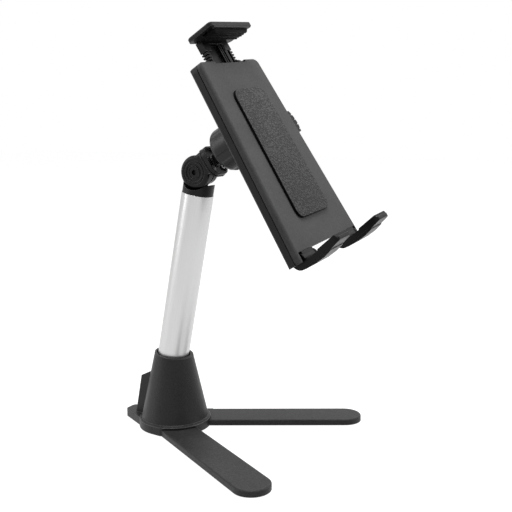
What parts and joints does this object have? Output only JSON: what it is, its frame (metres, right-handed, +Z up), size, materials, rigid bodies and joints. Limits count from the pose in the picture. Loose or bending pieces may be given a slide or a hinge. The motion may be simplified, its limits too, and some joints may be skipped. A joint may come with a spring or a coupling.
{
  "type": "tablet desk stand",
  "caption": "Desk stand with a leaning tube on a two-legged base, a pivoting ball-jointed holder with folding feet and a sliding jaw for a tablet.",
  "frame": {"origin": "on the desk, under the centre of the socket cone", "axes": "+Z up, -Y forward over the two legs, +X to the right of someone who stands behind the stand"},
  "size_m": [0.1796, 0.2152, 0.3246],
  "materials": {
    "base_plastic": "fine textured moulding",
    "leg_steel": "satin black powder coat",
    "tube_aluminium": "satin anodised",
    "black_plastic": "satin moulding",
    "nut_plastic": "fine textured moulding",
    "holder_face": "fine textured moulding",
    "pad_rubber": "soft matt rubber",
    "sole_rubber": "matt rubber",
    "liner_plastic": "smooth acetal",
    "plated_steel": "zinc plated",
    "black_steel": "black oxide",
    "spring_steel": "drawn wire"
  },
  "bodies": {
    "base": {"base_housing": "base_plastic", "base_pad": "sole_rubber", "leg_left": "leg_steel", "leg_right": "leg_steel", "leg_pad_left": "sole_rubber", "leg_pad_right": "sole_rubber", "leg_screw_left_front": "plated_steel", "leg_screw_left_rear": "plated_steel", "leg_screw_right_front": "plated_steel", "leg_screw_right_rear": "plated_steel", "clamp_screw_upper": "plated_steel", "clamp_screw_lower": "plated_steel", "column_bolt": "plated_steel", "tube_plug": "black_plastic", "column_tube": "tube_aluminium", "tube_cap": "black_plastic", "friction_washer_left": "liner_plastic", "friction_washer_right": "liner_plastic"},
    "head": {"knuckle": "black_plastic", "pivot_bolt": "black_steel", "pivot_nut": "plated_steel", "ball_stud": "black_plastic", "stud_screw_left": "plated_steel", "stud_screw_right": "plated_steel"},
    "liner_inner": {"inner_liner": "liner_plastic"},
    "liner_outer": {"outer_liner": "liner_plastic"},
    "holder": {"socket_cup": "black_plastic", "socket_screw_1": "plated_steel", "socket_screw_2": "plated_steel", "socket_screw_3": "plated_steel", "socket_screw_4": "plated_steel", "back_shell": "black_plastic", "front_shell": "holder_face", "shell_screw_1": "plated_steel", "shell_screw_2": "plated_steel", "shell_screw_3": "plated_steel", "shell_screw_4": "plated_steel", "face_pad": "pad_rubber", "pawl_pin": "plated_steel", "foot_pin_left": "plated_steel", "foot_pin_right": "plated_steel", "arm_spring_left": "spring_steel", "arm_spring_right": "spring_steel", "button_spring": "spring_steel"},
    "nut": {"clamp_nut": "nut_plastic"},
    "arm": {"slide_arm": "black_plastic", "jaw": "black_plastic", "jaw_pad": "pad_rubber", "jaw_screw_left": "plated_steel", "jaw_screw_right": "plated_steel"},
    "button": {"release_button": "black_plastic"},
    "pawl": {"pawl": "plated_steel"},
    "foot_l": {"foot_left": "black_plastic", "foot_pad_left": "pad_rubber"},
    "foot_r": {"foot_right": "black_plastic", "foot_pad_right": "pad_rubber"}
  },
  "joints": [
    {"name": "head_pivot", "type": "hinge", "parent": "base", "child": "head", "pos_m": [0, -0.03042, 0.21084], "axis": [1, 0, 0], "range_deg": [-70, 45]},
    {"name": "ball_tilt", "type": "hinge", "parent": "head", "child": "liner_inner", "pos_m": [0, -0.0547, 0.22802], "axis": [1, 0, 0], "range_deg": [-20, 7]},
    {"name": "ball_pan", "type": "hinge", "parent": "liner_inner", "child": "liner_outer", "pos_m": [0, -0.0547, 0.22802], "axis": [0.0218, 0.4995, 0.866], "range_deg": [-9, 9]},
    {"name": "ball_spin", "type": "hinge", "parent": "liner_outer", "child": "holder", "pos_m": [0, -0.0547, 0.22802], "axis": [-0.0378, -0.8652, 0.5], "continuous": true},
    {"name": "clamp_turn", "type": "hinge", "parent": "holder", "child": "nut", "pos_m": [0, -0.0547, 0.22802], "axis": [-0.0378, -0.8652, 0.5], "range_deg": [0, 180]},
    {"name": "jaw_slide", "type": "slide", "parent": "holder", "child": "arm", "axis": [-0.0706, 0.5014, 0.8623], "range_m": [-0.017, 0.045], "deforming": ["arm_spring_left", "arm_spring_right"]},
    {"name": "button_press", "type": "slide", "parent": "holder", "child": "button", "axis": [-0.9968, -0.0027, -0.08], "range_m": [0, 0.0024], "stiffness_N_per_m": 300, "deforming": ["button_spring"]},
    {"name": "pawl_turn", "type": "hinge", "parent": "holder", "child": "pawl", "pos_m": [0.02815, -0.09131, 0.2348], "axis": [-0.0378, -0.8652, 0.5], "range_deg": [0, 10]},
    {"name": "foot_fold_left", "type": "hinge", "parent": "holder", "child": "foot_l", "pos_m": [-0.02908, -0.13733, 0.15564], "axis": [0.9968, 0.0027, 0.08], "range_deg": [0, 90]},
    {"name": "foot_fold_right", "type": "hinge", "parent": "holder", "child": "foot_r", "pos_m": [0.0407, -0.13714, 0.16124], "axis": [0.9968, 0.0027, 0.08], "range_deg": [0, 90]}
  ],
  "couplings": [
    {"joint": "pawl_turn", "follows": "button_press", "rad_per_m": 72}
  ]
}
